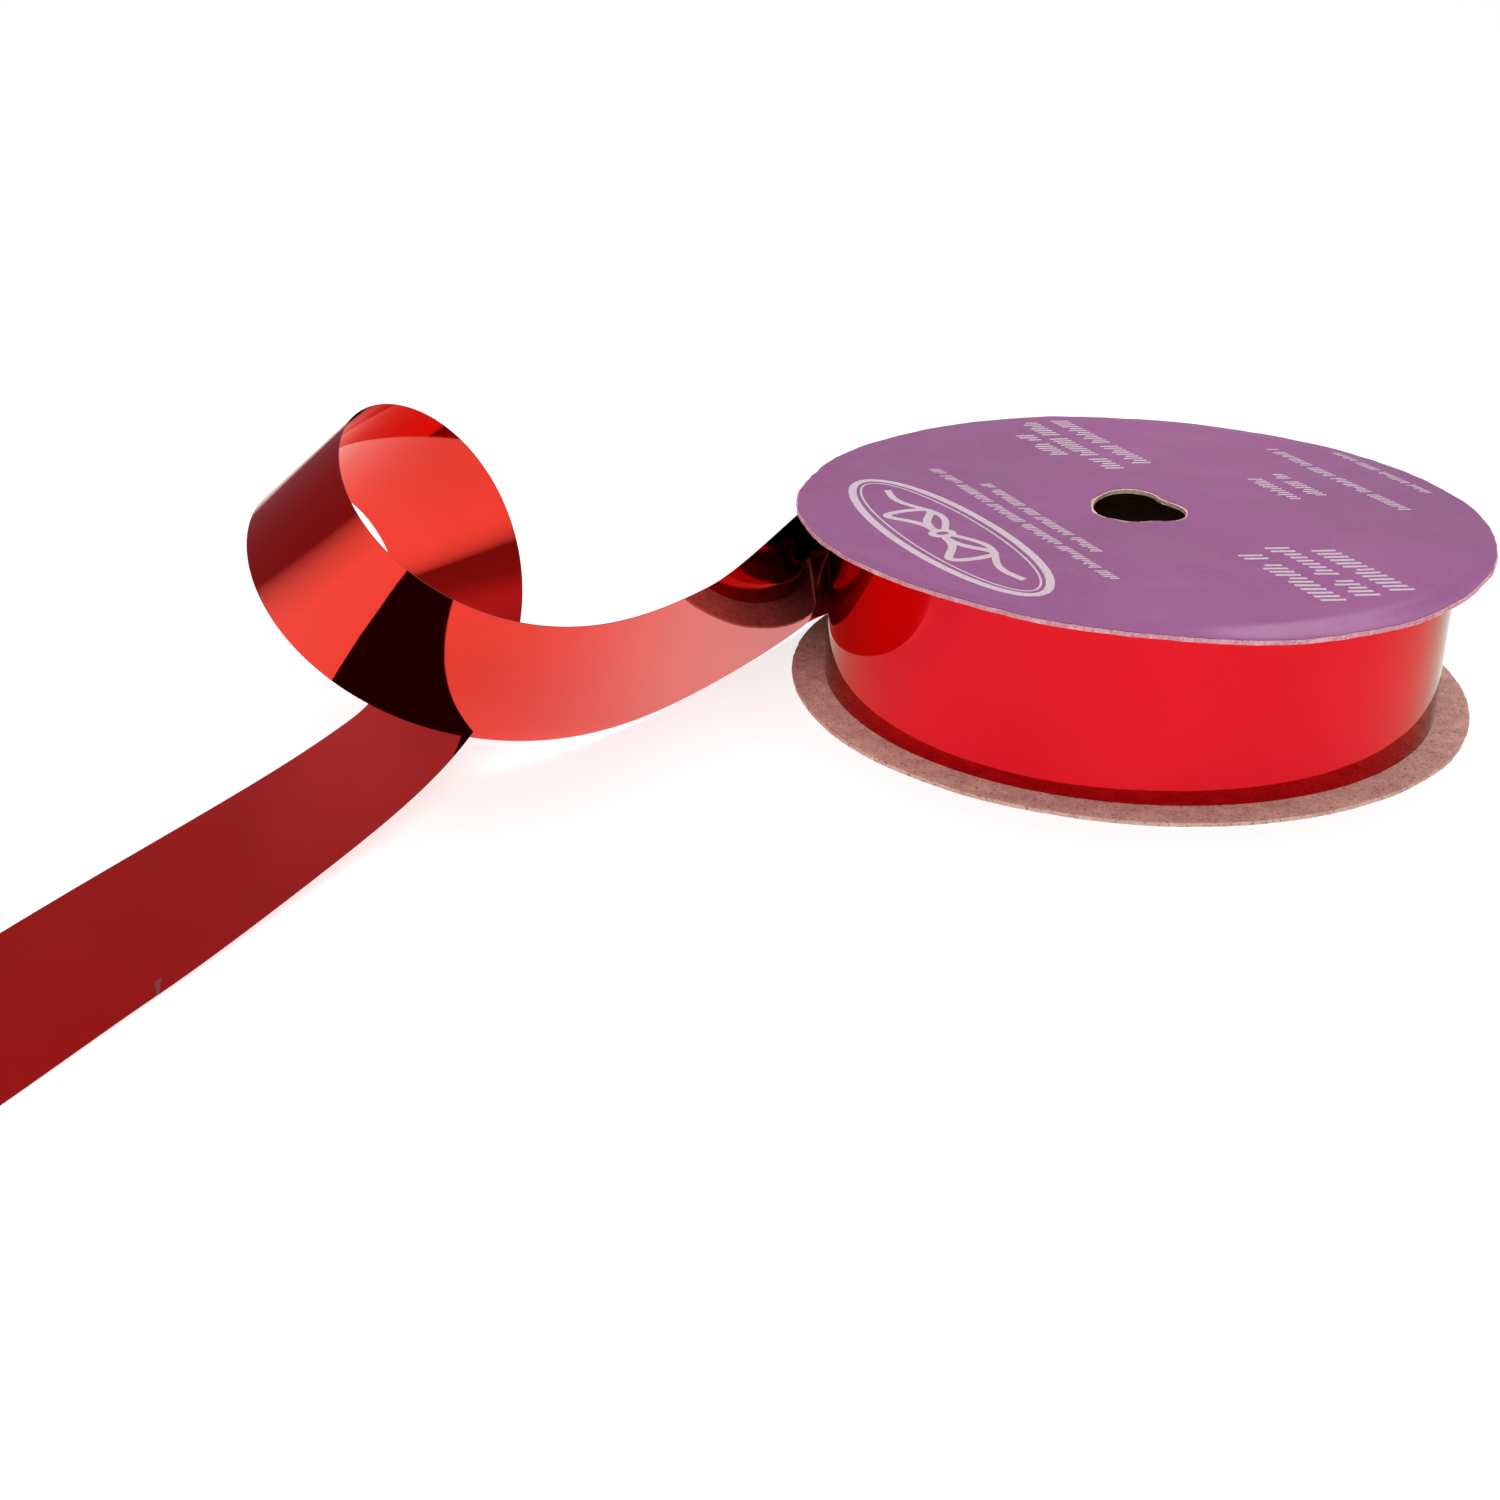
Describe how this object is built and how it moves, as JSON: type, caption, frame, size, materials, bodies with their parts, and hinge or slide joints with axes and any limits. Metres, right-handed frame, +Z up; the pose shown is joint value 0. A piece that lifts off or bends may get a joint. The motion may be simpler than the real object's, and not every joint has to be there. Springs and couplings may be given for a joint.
{
  "type": "ribbon spool",
  "caption": "Gift-ribbon spool: cardboard core and flanges with a paper label, wound film ribbon, and a free ribbon end in one standing curl.",
  "frame": {"origin": "centre of the lower flange's underside, on the spool's axis, where it stands on the table", "axes": "+Z up along the spool's axis; -Y towards the viewer; the ribbon's free end leaves at the back left and runs to -X, -Y"},
  "size_m": [0.2292, 0.2514, 0.0605],
  "materials": {
    "label_paper": "semi-gloss printed paper",
    "top_board": "matte pressed board",
    "bottom_board": "matte pressed board",
    "core_board": "matte wound paper",
    "glue": "dried white glue",
    "tape": "clear tan tape",
    "film": "mirror-like metallised film"
  },
  "bodies": {
    "spool": {"top_label": "label_paper", "top_flange": "top_board", "bottom_flange": "bottom_board", "core_inner_ply": "core_board", "core_outer_ply": "core_board", "top_glue_ring": "glue", "bottom_glue_ring": "glue", "starter_tape": "tape", "ribbon_pack": "film"},
    "ribbon_end": {"ribbon_tail": "film"}
  },
  "joints": [
    {"name": "unwind", "type": "hinge", "parent": "spool", "child": "ribbon_end", "pos_m": [0, 0, 0], "axis": [0, 0, 1], "continuous": true}
  ]
}
